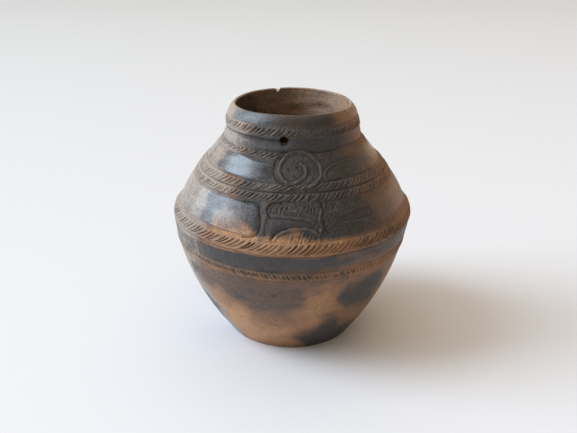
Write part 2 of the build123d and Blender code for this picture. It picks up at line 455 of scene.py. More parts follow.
# Clouds of smoke (or of bare clay, below 0) and of warmth: strength, angle,
# mark, half width in degrees, half height, and sharpness where it isn't 1.4
CLOUDS = {
    "shoulder": [(0.14, 41, 120, 22, 9), (0.12, 34, 119, 15, 6), (-0.65, -23, 91.5, 9, 5),
                 (-0.5, 3, 90.5, 10, 4), (-0.4, -6, 88.5, 22, 1.8), (0.6, -158, 118, 38, 26),
                 (0.35, 112, 100, 24, 12), (0.4, 165, 96, 30, 8)],
    "shoulder_foot": [(-0.42, -25, 94, 10, 7)],
    "panels": [(0.16, -43, 99, 5, 8), (-0.16, -55, 98, 6, 8), (-0.36, -26, 98, 9, 9)],
    "waist": [(0.3, 170, 74, 50, 20), (-0.3, 30, 76, 7, 3), (-0.1, 38, 72, 14, 3)],
    "lower": [(0.97, 41, 45, 16, 13, 2), (0.4, 56, 38, 12, 22), (0.3, 10, 12, 13, 13),
              (0.95, 36, 6, 30, 13, 2), (0.5, 15, 22, 9, 14), (0.25, 30, 27, 16, 10),
              (0.8, -66, 24, 13, 20), (0.9, 150, 42, 34, 24), (0.8, -135, 20, 30, 18),
              (0.6, 100, 16, 18, 14), (0.8, -100, 50, 24, 14), (0.7, -176, 14, 16, 12),
              (0.6, 96, 54, 20, 10)],
    # Darker inside on the left, paler at the back right: painted shade and light of the window
    "inside": [(0.4, -95, 160, 70, 60), (-0.45, 150, 156, 55, 18)],
    "warm_shoulder": [(0.5, -20, 90, 14, 4), (0.4, 3, 91, 10, 4)],
    "warm_lower": [(0.3, 2, 22, 11, 14), (0.65, -26, 16, 24, 17, 2), (0.4, -42, 36, 8, 10),
                   (0.25, 10, 42, 16, 18)],
    # Painted glare of the window on the lower left panel, a pale grey cloud
    "panel_glare": [(0.7, -40, 99, 18, 10)],
}
# Smoky patches of the lower body: strength, softness, outline
PATCHES = [
    (0.56, 6.0, [(-58, 62), (-56, 46), (-44, 45), (-37, 42), (-33, 38), (-20, 37), (-6, 40),
                 (0, 47), (6, 52), (14, 55), (22, 62)]),
    (0.14, 5.0, [(-30, 40), (-30, 30), (-10, 28), (4, 34), (0, 42)]),
]


def ring(name, angle):
    """Mark of a ring line at each angle, as a smooth closed curve."""
    places = np.array(RING_ANGLES, float)
    places = np.concatenate([places - 360, places, places + 360])
    knots = np.tile(RINGS[name], 3)
    turned = around(angle, 0.0)
    near = [np.interp(turned + shift, places, knots) for shift in (-16, -8, 0, 8, 16)]
    return sum(near) / len(near)


class Grid:
    """Angles (one row) and marks (one column) on the wall, and what is drawn on them.

    out is how far the surface stands out from the outline. The masks, each 0
    to 1, steer the clay's colour and finish.
    """

    def __init__(self, angle, mark):
        self.angle, self.mark = angle, mark
        self.radius, height, _, _ = outline(mark)
        self.x = self.radius * np.sin(np.radians(angle))
        self.y = -self.radius * np.cos(np.radians(angle))
        self.z = height + 0.0 * angle
        self.along = along_wall(mark)
        self.out, self.cut, self.raised, self.burnish, self.worn = np.zeros((5,) + self.x.shape)

    def noise(self, size, seed, count=14):
        return waves(self.x, self.y, self.z, size, seed, count)

    def sector(self, first, last, soft):
        return band(self.angle, first, last, soft)

    def above(self, name):
        """Distance up the wall from a ring."""
        return self.along - along_wall(ring(name, self.angle))

    def distance(self, points, turn=0.0):
        return line_distance(self.angle, self.mark, rounded(points), turn)

    def press(self, here, depth, shown=1.0):
        """Presses a mark into the clay and darkens it: painted shade in the cut, with some smoke.
        """
        self.out = self.out - depth * here
        self.cut = np.maximum(self.cut, shown * here)

    def lift(self, here, height, shown=1.0):
        """Raises the clay and paints it paler: worn clay with a painted highlight on top."""
        self.out = self.out + height * here
        self.raised = np.maximum(self.raised, shown * here)

    def shine(self, here):
        self.burnish = np.maximum(self.burnish, here)


def shape_by_hand(g):
    """Slight unevenness and hollows of the hand-built wall."""
    uneven = 0.13 * g.noise(75, 1) + 0.06 * g.noise(26, 2)
    uneven = uneven + 0.02 * waves(g.x, g.y, g.z * 2.5, 9, 3)
    for place, width, depth in HOLLOWS:
        uneven = uneven - depth * bell(g.mark - place, width)
    g.out = uneven * smooth(0.0, 9.0, g.mark)


def carve_motifs(g):
    """Panels, hatching, grooves and ridges. Returns the spiral's field, where the rings stop."""
    field = np.zeros(g.out.shape)
    if g.mark.max() <= MOTIF_MARKS[0] or g.mark.min() >= MOTIF_MARKS[1]:
        return field
    faded = g.sector(*FADED_SIDE)
    gaps, crackle, crumbs = g.noise(8, 21), g.noise(5, 25), g.noise(2.8, 31)
    for turn in MOTIF_TURNS:
        turned = around(g.angle, turn)
        dx = np.radians(around(g.angle, SPIRAL_MIDDLE[0] + turn)) * g.radius / SPIRAL_SIZE[0]
        dy = (g.along - along_wall(SPIRAL_MIDDLE[1])) / SPIRAL_SIZE[1]
        field = np.maximum(field, 1.0 - smooth(0.8, 1.12, np.hypot(dx, dy)))
        crisp = 0.35 + 0.65 * band(turned, -125.0, 42.0, 6.0) * band(turned, -75.0, 60.0, 12.0)
        crisp = crisp * (1.0 - 0.9 * faded)
        for points in PANELS:
            gap = inside(g.angle, g.mark, points, turn)
            soft = 0.5 + 5.0 * faded
            g.shine(smooth(-soft, soft, gap))
            g.out = g.out - 0.24 * crisp * bell(gap + 0.3, 0.6) + 0.16 * smooth(0.0, 3.5, gap)
            # Painted shade in the groove round each panel
            g.cut = np.maximum(g.cut, 0.5 * crisp * bell(gap + 0.3, 0.5))
        for points, spacing, slant, depth in HATCHES:
            gap = inside(g.angle, g.mark, points, turn)
            place = np.radians(turned) * g.radius + 0.5 * gaps
            phase = (place - slant * g.along) / spacing
            line = np.abs(phase - np.round(phase)) * spacing / math.hypot(1.0, slant)
            here = smooth(-0.6, 0.6, gap) * bell(line, 0.34) * smooth(-0.7, 0.3, crackle)
            crust = smooth(-0.6, 2.2, gap) * np.clip(crumbs, -0.3, 1.0)
            g.out = g.out + 0.3 * depth * crust
            g.press(here, 0.75 * depth, 1.3 * depth)
            g.lift(unit(crust) * (1.0 - here), 0.0, 1.1 * depth)
    g.out = g.out - 0.4 * field
    wobble, breaks, crust = g.noise(5, 26), g.noise(4.5, 27), g.noise(3.2, 30)
    for turn in MOTIF_TURNS:
        for points, width, depth in GROOVES:
            g.press(bell(g.distance(points, turn), width), depth)
        for name, (points, width, height) in RIDGES.items():
            gap = g.distance(points, turn) + 0.12 * wobble
            here = bell(gap, width) * np.clip(0.85 + 0.4 * breaks, 0.25, 1.2)
            if name in CRUSTY:
                here = here * np.clip(0.7 + 0.8 * crust, 0.1, 1.5)
            g.lift(here, height, 0.7 * min(1.0, height / 0.5))
            g.press(bell(gap - 2.1 * width, 0.7 * width) * min(1.0, height / 0.4), 0.2, 0.5)
            g.cut = g.cut * (1 - 0.9 * unit(here))
    return field


def tool_bands(g, field):
    """The bands of tooled strokes and the ring grooves, which stop at the spiral's field."""
    clear = 1.0 - 0.9 * field
    for name, half, swell, spacing, slant, length, width, depth, seed in BANDS:
        gap = g.above(name)
        if np.abs(gap).min() > 8.0:
            continue
        strip = band(gap, -half - 0.4, half + 0.4, 0.7) * clear
        pressed = 1.0 - 0.25 * g.sector(10.0, 105.0, 14.0) + 0.2 * g.noise(20, seed)
        flatter = 1.0
        if name == "neck_band":
            pressed = pressed * (1.0 - 0.7 * g.sector(1.0, 33.0, 6.0))
        if name == "collar_foot":
            weak = g.sector(6.0, 58.0, 6.0) * (1.0 - 0.6 * g.sector(20.0, 30.0, 2.0))
            pressed = (pressed + 0.3 * g.sector(-76.0, -10.0, 6.0)) * (1.0 - 0.85 * weak)
        if name == "shoulder_high":
            flatter = 1.0 + 0.8 * g.sector(-10.0, 24.0, 8.0)
        here = strokes(g.angle, gap, g.radius, spacing, slant, length, width, seed, flatter)
        here = here * clear * np.clip(pressed, 0.15, 1.1)
        g.out = g.out + swell * strip
        g.press(here, depth)
        # Clay between the strokes is painted paler, worn clay with a painted highlight, less on the
        # right
        untouched = strip * (1.0 - 0.6 * g.sector(5.0, 105.0, 14.0)) * (1 - unit(here * 2))
        g.lift(untouched, 0.0, 0.75)
    for name, offset, width, depth in RING_GROOVES:
        gap = g.above(name) - offset
        if np.abs(gap).min() > 5.0:
            continue
        pressed = np.clip(0.8 + 0.35 * g.noise(24, 33), 0.2, 1.2)
        g.press(bell(gap, width) * (1.0 - field) * pressed, depth, min(1.0, depth / 0.45))
    g.lift(bell(g.above("belly_foot") - 0.8, 0.4), 0.15, 0.8)


def shape_collar(g, field):
    """A channel that runs into the hole, a swelling and a crease under it, and the hole's edge.

    Returns how the channel is rubbed, and two dark masks: painted shade in and round the hole, and
    a darkening of the channel.
    """
    left = g.sector(-106.0, -4.0, 8.0)
    drop = g.mark + 0.25 * g.noise(25, 34)
    channel = (1.0 - smooth(137.2, 138.1, drop)) * smooth(132.4, 136.2, drop)
    g.out = g.out - (0.14 + 0.8 * left) * channel * on_outside(g.mark)
    # A painted shadow line under the channel's ledge
    g.cut = np.maximum(g.cut, left * bell(drop - 137.0, 0.7) * 0.75)
    g.out = g.out + 0.24 * left * bell(g.mark - 131.9, 1.4)
    crease = bell(g.mark - 130.1 - 0.4 * g.noise(30, 22), 0.45) * (1.0 - field)
    g.press(crease, 0.22, 0.45)

    across = np.radians(around(g.angle, HOLE_ANGLE)) * g.radius
    from_hole = np.hypot(across, g.z - HOLE_HEIGHT)
    past_edge = np.maximum(from_hole - HOLE_RADIUS, 0.0)
    g.out = g.out - 0.45 * bell(past_edge, 0.8) * (from_hole < 6.0)
    # Painted shade in and round the hole: its edge counts as a cut and is darkened
    g.cut = np.maximum(g.cut, 1.0 - smooth(2.7, 3.3, from_hole))
    hole_shade = 1.0 - smooth(2.8, 4.2, from_hole)
    # The channel is darker at the front left
    channel_dark = 0.9 * channel * g.sector(-48.0, -4.0, 15.0)
    return 0.35 - 0.3 * left * channel, hole_shade, channel_dark


def on_outside(mark):
    return 1.0 - smooth(151.0, 154.0, mark)


def burnish_clay(g, collar):
    """How smooth each zone is rubbed, and the grit of the clay between the rubbed zones."""
    lit_side = g.sector(-105.0, -27.0, 9.0)
    low_panels = 1.0 - smooth(107.0, 111.0, g.mark)
    g.burnish = g.burnish * (1.0 - (0.40 - 0.22 * lit_side) * low_panels)
    g.shine(0.55 * (1.0 - smooth(61.5, 63.5, g.mark)))
    g.shine(0.58 * band(g.mark, 69.8, 79.0, 1.6))
    g.shine(collar * band(g.mark, 130.8, 138.4, 0.8))
    g.shine(0.75 * smooth(144.3, 145.5, g.mark))
    inside_lip = smooth(152.0, 156.0, g.mark)
    g.burnish = g.burnish * (1.0 - 0.8 * unit(g.cut)) * (1.0 - 0.55 * inside_lip)
    rough = (1.0 - g.burnish) * on_outside(g.mark)
    g.out = g.out + rough * (0.05 * g.noise(2.4, 4, 22) + 0.05 * g.noise(5.5, 7, 18))


def wear_clay(g):
    """The worn lip with its notch at the back, pits, a scratch, a scrape and finger marks."""
    wander, thick = 0.3 * g.noise(9, 28), g.noise(10, 29)
    g.worn = 0.3 * bell(g.mark - 152.6 - wander, 0.6) * unit(0.6 + 0.6 * thick)
    notch_width = 2.3 - 0.28 * np.clip(g.mark - 150.5, 0.0, 5.0)
    across = np.radians(around(g.angle, NOTCH_ANGLE)) * g.radius / notch_width
    gap = np.hypot(across, (g.mark - NOTCH_MARK) / 4.2) + 0.1 * g.noise(2.2, 23)
    notch = 1.0 - smooth(0.45, 1.0, gap)
    g.out = g.out - 2.7 * notch
    g.worn = np.maximum(g.worn, notch)
    ragged = 0.25 * g.noise(2.5, 24)
    for angle, mark, size, depth in PITS:
        across = np.radians(around(g.angle, angle)) * g.radius
        gap = np.hypot(across, g.along - along_wall(mark))
        g.press(bell(gap + ragged, size), depth)
    scratch = g.distance(SCRATCH)
    g.out = g.out - 0.12 * bell(scratch, 0.35)
    g.cut = np.maximum(g.cut, 0.4 * bell(scratch, 0.4))
    scrape = g.distance(SCRAPE)
    g.out = g.out - 0.1 * bell(scrape, 0.5)
    scraped = 0.3 * bell(scrape, 0.55) * unit(0.7 + 0.6 * g.noise(3.5, 35))
    g.worn = np.maximum(g.worn, scraped)
    fingers = 0.3 * waves(g.x * 0.4, g.y * 0.4, g.z * 1.6, 11, 5)
    g.out = g.out + smooth(156.0, 165.0, g.mark) * fingers
    crest = bell(g.mark - 152.3 - wander, 0.9) * unit(0.7 + 0.5 * g.noise(12, 29))
    g.lift(crest, 0.0, 0.9)


def fire(g):
    """Smoke, warmth and ashy grey of the fired clay, each 0 to 1, with painted light, sheen and
    shade of the window mixed in.
    """
    drift = 9.0 * g.noise(45, 11) + 4.0 * g.noise(18, 12)
    rise = 3.5 * g.noise(40, 13) + 1.6 * g.noise(14, 14)
    a, h, mark = around(g.angle + drift * 0.6, 0.0), g.mark + rise * 0.7, g.mark

    def clouds(name):
        total = 0.0
        for strength, where, height, wide, tall, *sharp in CLOUDS[name]:
            reach = (around(a, where) / wide) ** 2 + ((h - height) / tall) ** 2
            total = total + strength * np.exp(-(reach ** (sharp[0] if sharp else 1.4)))
        return total

    # the shoulder and neck: grey-black at the front, brown at the right, and tan at the left, where
    # the tan is partly painted light of the window
    upper = smooth(86.0, 90.0, mark)
    lip = smooth(143.5, 145.5, mark)
    left = band(a, *WINDOW_LIT_LEFT)
    panel = unit(g.burnish * 1.6)
    dark = 0.30 + 0.6 * band(a, *SMOKED_FRONT) + clouds("shoulder") + panel * clouds("panels")
    # Clay off the panels on the left is made less dark: painted window light
    dark = dark + left * (0.30 * panel * smooth(-66.0, -50.0, a) - 0.20 * (1 - panel))
    dark = dark + 0.14 * panel * band(a, -38.0, 44.0, 14.0) + 0.12 * band(a, 34.0, 62.0, 14.0)
    dark = upper * dark + clouds("shoulder_foot")
    dark = dark + lip * (0.28 * left * smooth(-80.0, -55.0, a) - 0.26 * band(a, -30.0, 60.0, 20.0))

    # the waist between the belly band and the lower band
    waist_foot = mark + 2.4 * band(a, -60.0, 4.0, 12.0) + 0.2 * rise + 0.3 * g.noise(7, 15)
    waist = smooth(64.5, 74.5, waist_foot) * (1.0 - smooth(78.2, 80.4, mark + 0.12 * rise))
    smoke = 0.55 + 0.35 * band(a, -44.0, 26.0, 14.0) + 0.15 * band(a, 20.0, 70.0, 10.0)
    dark = np.maximum(dark, waist * (smoke + clouds("waist")))

    # fire clouds of the lower body, and the sooty inside, with painted shade on its left and
    # painted light at its back right
    lower = 1.0 - smooth(61.0, 66.0, mark)
    smoke = clouds("lower")
    for strength, soft, points in PATCHES:
        smoke = smoke + strength * smooth(-soft, soft, inside(a, h, points))
    dark = np.maximum(dark, lower * np.minimum(smoke, 1.0))
    inner = smooth(152.5, 155.0, mark)
    dark = dark * (1 - inner) + inner * (0.44 + clouds("inside"))

    warm_belly = band(mark, 79.0, 89.5, 1.0) * band(a, -34.0, 22.0, 14.0)
    # The 0.4 of warmth on the left is painted window light
    warm = 0.4 * left + 0.22 * band(a, 62.0, 110.0, 12.0) - 0.06 * band(a, 30.0, 62.0, 15.0)
    warm = upper * (warm + clouds("warm_shoulder")) + lower * clouds("warm_lower")
    warm = warm + 0.3 + 0.44 * warm_belly + 0.24 * inner
    high = smooth(79.0, 92.0, mark)
    # Ashy grey on the left is partly painted sheen of the window
    ash_and_sheen = 0.9 * left * high + 0.8 * band(a, -125.0, -46.0, 9.0) * (1 - high)
    # Painted glare: pale grey where the window reflects on the lower left panel
    ash_and_sheen = ash_and_sheen + upper * panel * clouds("panel_glare")
    ash_and_sheen = ash_and_sheen * (1 - inner) + 0.45 * inner
    return unit(dark), unit(warm), unit(ash_and_sheen)


def draw(angle, mark):
    """The decoration on a grid: how far the surface stands out, and the masks of its looks."""
    g = Grid(angle, mark)
    shape_by_hand(g)
    field = carve_motifs(g)
    tool_bands(g, field)
    collar, hole_shade, channel_dark = shape_collar(g, field)
    burnish_clay(g, collar)
    wear_clay(g)
    dark, warm, ash_and_sheen = fire(g)
    dark = np.maximum(np.maximum(dark, hole_shade), channel_dark)
    return g.out, {"dark": dark, "warm": warm, "ash_and_sheen": ash_and_sheen, "burnish": g.burnish,
                   "cut": unit(g.cut), "raised": unit(g.raised), "worn": g.worn}


# ---- Meshes

# The real mouth is tilted and the wall leans: drops and shifts of the drawn surface
SIDE_DROP = 0.3
MOUTH_SAG = 0.8
FRONT_RISE = 0.2
LEAN = 0.9


def ring_angles(columns):
    return -180.0 + 360.0 * np.arange(columns) / columns


def surface(mark, columns):
    """Points, normals and masks of the drawn surface on rings at these marks."""
    mark = np.asarray(mark, float)
    grid = np.concatenate([[2 * mark[0] - mark[1]], mark, [2 * mark[-1] - mark[-2]]])[:, None]
    grid = np.clip(grid, 0.0, edge_mark[-1])
    angle = ring_angles(columns)[None, :]
    radius, height, normal_r, normal_z = outline(grid)
    out, masks = draw(angle, grid)
    sine, cosine = np.sin(np.radians(angle)), np.cos(np.radians(angle))
    r = radius + normal_r * out
    z = height + normal_z * out - SIDE_DROP * sine * smooth(120.0, 150.0, height)
    tilt = FRONT_RISE * unit(cosine) - MOUTH_SAG * sine ** 2
    z = z + tilt * smooth(134.0, 150.0, height)
    lean = LEAN * smooth(50.0, 95.0, height)
    point = np.stack([r * sine + lean, -r * cosine, z], axis=2)
    along_ring = np.roll(point, -1, axis=1) - np.roll(point, 1, axis=1)
    up_wall = point[2:] - point[:-2]
    normal = np.cross(along_ring[1:-1], up_wall)
    normal /= np.linalg.norm(normal, axis=2, keepdims=True)
    kept = {key: mask[1:-1] for key, mask in masks.items()}
    return {"point": point[1:-1], "normal": normal, "masks": kept}


def hidden(mark, columns):
    """One ring inside the wall, at the depth of the cordons' seats."""
    radius, height, normal_r, normal_z = outline(mark)
    angle = np.radians(ring_angles(columns))
    r = radius - normal_r * seat_depth
    z = np.full(columns, height - normal_z * seat_depth)
    point = np.stack([r * np.sin(angle), -r * np.cos(angle), z], axis=1)[None]
    return {"point": point, "normal": None, "masks": None}


def strip_faces(first, second, n, m):
    """Faces between two rings of n and m points, where one count divides the other."""
    low, high = np.arange(n), np.arange(m)
    if n == 1:
        return np.column_stack([np.full(m, first), second + (high + 1) % m, second + high])
    if m == 1:
        return np.column_stack([first + low, first + (low + 1) % n, np.full(n, second)])
    if n >= m:
        k = n // m
        fan = [first + (high * k + i) % n for i in range(k + 1)]
        return np.column_stack(fan + [second + (high + 1) % m, second + high])
    k = m // n
    fan = [second + (low * k + j) % m for j in range(k, -1, -1)]
    return np.column_stack([first + low, first + (low + 1) % n] + fan)


MASKS = ("dark", "warm", "ash_and_sheen", "burnish", "cut", "raised", "worn")


def build(node, slot, sheets, closed=True, hole=None):
    """A closed mesh from sheets of rings, in order round the section of the piece."""
    points, normals, masks, rings_at, sheet_of = [], [], [], [], []
    total = 0
    for number, sheet in enumerate(sheets):
        rows, columns = sheet["point"].shape[:2]
        count = rows * columns
        flat = sheet["normal"] is None
        points.append(sheet["point"].reshape(-1, 3))
        normals.append(np.zeros((count, 3)) if flat else sheet["normal"].reshape(-1, 3))
        if flat:
            masks.append(np.zeros((count, len(MASKS))))
        else:
            masks.append(np.stack([sheet["masks"][key].ravel() for key in MASKS], axis=1))
        rings_at += [(total + row * columns, columns) for row in range(rows)]
        sheet_of += [-1 if flat else number] * rows
        total += count
    points, normals, masks = np.vstack(points), np.vstack(normals), np.vstack(masks)
    groups, smooth_faces = [], []
    for i in range(len(rings_at) if closed else len(rings_at) - 1):
        j = (i + 1) % len(rings_at)
        (first, n), (second, m) = rings_at[i], rings_at[j]
        groups.append(strip_faces(first, second, n, m))
        smooth_faces.append(sheet_of[i] == sheet_of[j] and sheet_of[i] >= 0)
    if hole is not None:
        groups, smooth_faces, points = hole(groups, smooth_faces, points, sheets)
    name = "clay_" + node
    mesh = bpy.data.meshes.new(name)
    mesh.vertices.add(len(points))
    mesh.vertices.foreach_set("co", (points * MM).ravel())
    corners = np.concatenate([g.ravel() for g in groups])
    sizes = np.concatenate([np.full(len(g), g.shape[1]) for g in groups])
    mesh.loops.add(len(corners))
    mesh.loops.foreach_set("vertex_index", corners.astype(np.int32))
    mesh.polygons.add(len(sizes))
    starts = np.concatenate([[0], np.cumsum(sizes)[:-1]])
    mesh.polygons.foreach_set("loop_start", starts.astype(np.int32))
    mesh.polygons.foreach_set("use_smooth", np.ones(len(sizes), bool))
    mesh.update(calc_edges=True)
    corner_normals = []
    for group, is_smooth in zip(groups, smooth_faces):
        if is_smooth:
            corner_normals.append(normals[group].reshape(-1, 3))
            continue
        p = points[group]
        face = np.cross(p[:, 1] - p[:, 0], p[:, -1] - p[:, 0])
        face /= np.maximum(np.linalg.norm(face, axis=1, keepdims=True), 1e-9)
        corner_normals.append(np.repeat(face, group.shape[1], axis=0))
    mesh.normals_split_custom_set(np.vstack(corner_normals).astype(np.float32))
    for index, key in enumerate(MASKS):
        layer = mesh.attributes.new(key, "FLOAT", "POINT")
        layer.data.foreach_set("value", masks[:, index].astype(np.float32))
    piece = bpy.data.objects.new(name, mesh)
    bpy.context.scene.collection.objects.link(piece)
    mesh.materials.append(materials[slot])
    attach(piece, "root")
    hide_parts(node)
    return piece


# ---- The hole in the neck

def bored(outer_marks, columns, inner_sheet, rings_above):
    """Cuts the hole through two sheets whose rings face each other across the wall."""
    search_angle, neck_radius = 0.15, 38.2
    offset = np.radians(around(ring_angles(columns), HOLE_ANGLE))
    turn = math.radians(HOLE_ANGLE)
    outward = np.array([math.sin(turn), -math.cos(turn), 0.0])
    side_way = np.array([-outward[1], outward[0], 0.0])

    def in_hole(row, column):
        side = neck_radius * math.sin((offset[column] + offset[(column + 1) % columns]) / 2)
        up = (outer_marks[row] + outer_marks[row + 1]) / 2 - HOLE_HEIGHT
        return math.hypot(side, up) < HOLE_RADIUS

    def cut_through(groups, smooth_faces, points, sheets):
        points = points.copy()
        inner_start = sum(s["point"].shape[0] * s["point"].shape[1] for s in sheets[:inner_sheet])
        first_ring = sum(s["point"].shape[0] for s in sheets[:inner_sheet])

        def row_inside(row):
            return first_ring + rings_above + len(outer_marks) - 1 - row

        def vertex(row, column):
            return row * columns + column % columns

        def partner(row, column):
            return inner_start + (row_inside(row) - first_ring) * columns + column % columns

        nearby = [int(c) for c in np.nonzero(np.abs(offset) < search_angle)[0]]
        rows = range(len(outer_marks) - 1)
        gone = {(row, column) for row in rows for column in nearby if in_hole(row, column)}
        edges = []
        for row, column in gone:
            sides = [((row - 1, column), (row, column), (row, column + 1)),
                     ((row, column + 1), (row, column + 1), (row + 1, column + 1)),
                     ((row + 1, column), (row + 1, column + 1), (row + 1, column)),
                     ((row, column - 1), (row + 1, column), (row, column))]
            edges += [(start, end) for near, start, end in sides if near not in gone]

        def snap(index):
            """Moves a point sideways onto the round edge, at its own distance from the axis."""
            point = points[index]
            side, up = float(point @ side_way), point[2] - HOLE_HEIGHT
            scale = HOLE_RADIUS / math.hypot(side, up)
            side, up = side * scale, up * scale
            reach = math.sqrt(point[0] ** 2 + point[1] ** 2 - side ** 2)
            points[index] = outward * reach + side_way * side + (0.0, 0.0, HOLE_HEIGHT + up)

        for row, column in {corner for edge in edges for corner in edge}:
            snap(vertex(row, column))
            snap(partner(row, column))
        for row in rows:
            keep = np.array([(row, c) not in gone for c in range(columns)])
            groups[row] = groups[row][keep]
            if not keep.all():
                facing_row = row_inside(row + 1)
                groups[facing_row] = groups[facing_row][keep]
        groups.append(np.array([[vertex(*start), vertex(*end), partner(*end), partner(*start)]
                                for start, end in edges]))
        smooth_faces.append(False)
        return groups, smooth_faces, points

    return cut_through


# ---- Materials

class Nodes:
    """A node tree, and the few kinds of node that the materials and the room use."""

    def __init__(self, tree):
        self.tree, self.links = tree.nodes, tree.links

    def add(self, kind):
        return self.tree.new("ShaderNode" + kind)

    def feed(self, socket, value):
        """Sets an input to a number or a colour, or links it."""
        if isinstance(value, tuple):
            socket.default_value = value + (1.0,)
        elif isinstance(value, (int, float)):
            socket.default_value = value
        else:
            self.links.new(value, socket)

    def math(self, kind, a, b=0.0, c=0.0):
        node = self.add("Math")
        node.operation = kind
        for socket, value in zip(node.inputs, (a, b, c)):
            self.feed(socket, value)
        return node.outputs["Value"]

    def ramp(self, value, low, high, to_low=0.0, to_high=1.0, kind="SMOOTHSTEP"):
        """A number that goes from to_low to to_high as the value goes from low to high."""
        node = self.add("MapRange")
        node.interpolation_type = kind
        ends = {"From Min": low, "From Max": high, "To Min": to_low, "To Max": to_high}
        for key, number in ends.items():
            node.inputs[key].default_value = number
        self.feed(node.inputs["Value"], value)
        return node.outputs["Result"]

    def mix(self, factor, a, b, kind="MIX"):
        node = self.add("Mix")
        node.data_type = "RGBA"
        node.blend_type = kind
        for key, value in (("Factor", factor), ("A", a), ("B", b)):
            self.feed(node.inputs[key], value)
        return node.outputs["Result"]

    def darkened(self, factor, colour, by):
        return self.mix(factor, colour, self.mix(1.0, colour, by, "MULTIPLY"))

    def shifted(self, value, *parts):
        """The value, moved up and down by each part's share of its amount."""
        for part, amount in parts:
            value = self.math("ADD", value, self.math("MULTIPLY_ADD", part, amount, -amount / 2))
        return value

    def axes(self, space):
        """The x, y and z of a kind of texture coordinate."""
        split = self.add("SeparateXYZ")
        self.links.new(self.add("TexCoord").outputs[space], split.inputs["Vector"])
        return split.outputs["X"], split.outputs["Y"], split.outputs["Z"]


def new_material(name):
    material = bpy.data.materials.new(name)
    material.use_nodes = True
    return material, Nodes(material.node_tree), material.node_tree.nodes["Principled BSDF"]


# Linear colours of the clay
BROWN = (0.138, 0.069, 0.037)
ORANGE = (0.335, 0.152, 0.060)
TAN = (0.520, 0.255, 0.100)
ASH_AND_SHEEN_GREY = (0.365, 0.292, 0.235)
SOOT = (0.012, 0.011, 0.012)
SOOT_LIGHT = (0.034, 0.029, 0.029)
DUSTY = (0.022, 0.018, 0.016)
DUSTY_LIGHT = (0.072, 0.058, 0.048)
# The colour of raised ridges: paler worn clay with a painted highlight
WEAR_AND_HIGHLIGHT = (0.340, 0.240, 0.160)
CHIP = (0.720, 0.620, 0.520)
# What cuts (painted shade, with some smoke), pores and grain multiply the colour by
CUT_SHADE = (0.16, 0.14, 0.13)
PORE_SHADE = (0.35, 0.32, 0.30)
GRAIN_SHADE = (0.6, 0.58, 0.56)
MATT, POLISHED = 0.72, 0.25
SPECULAR = 0.68
BUMP_STRENGTH, BUMP_DEPTH = 0.7, 0.22


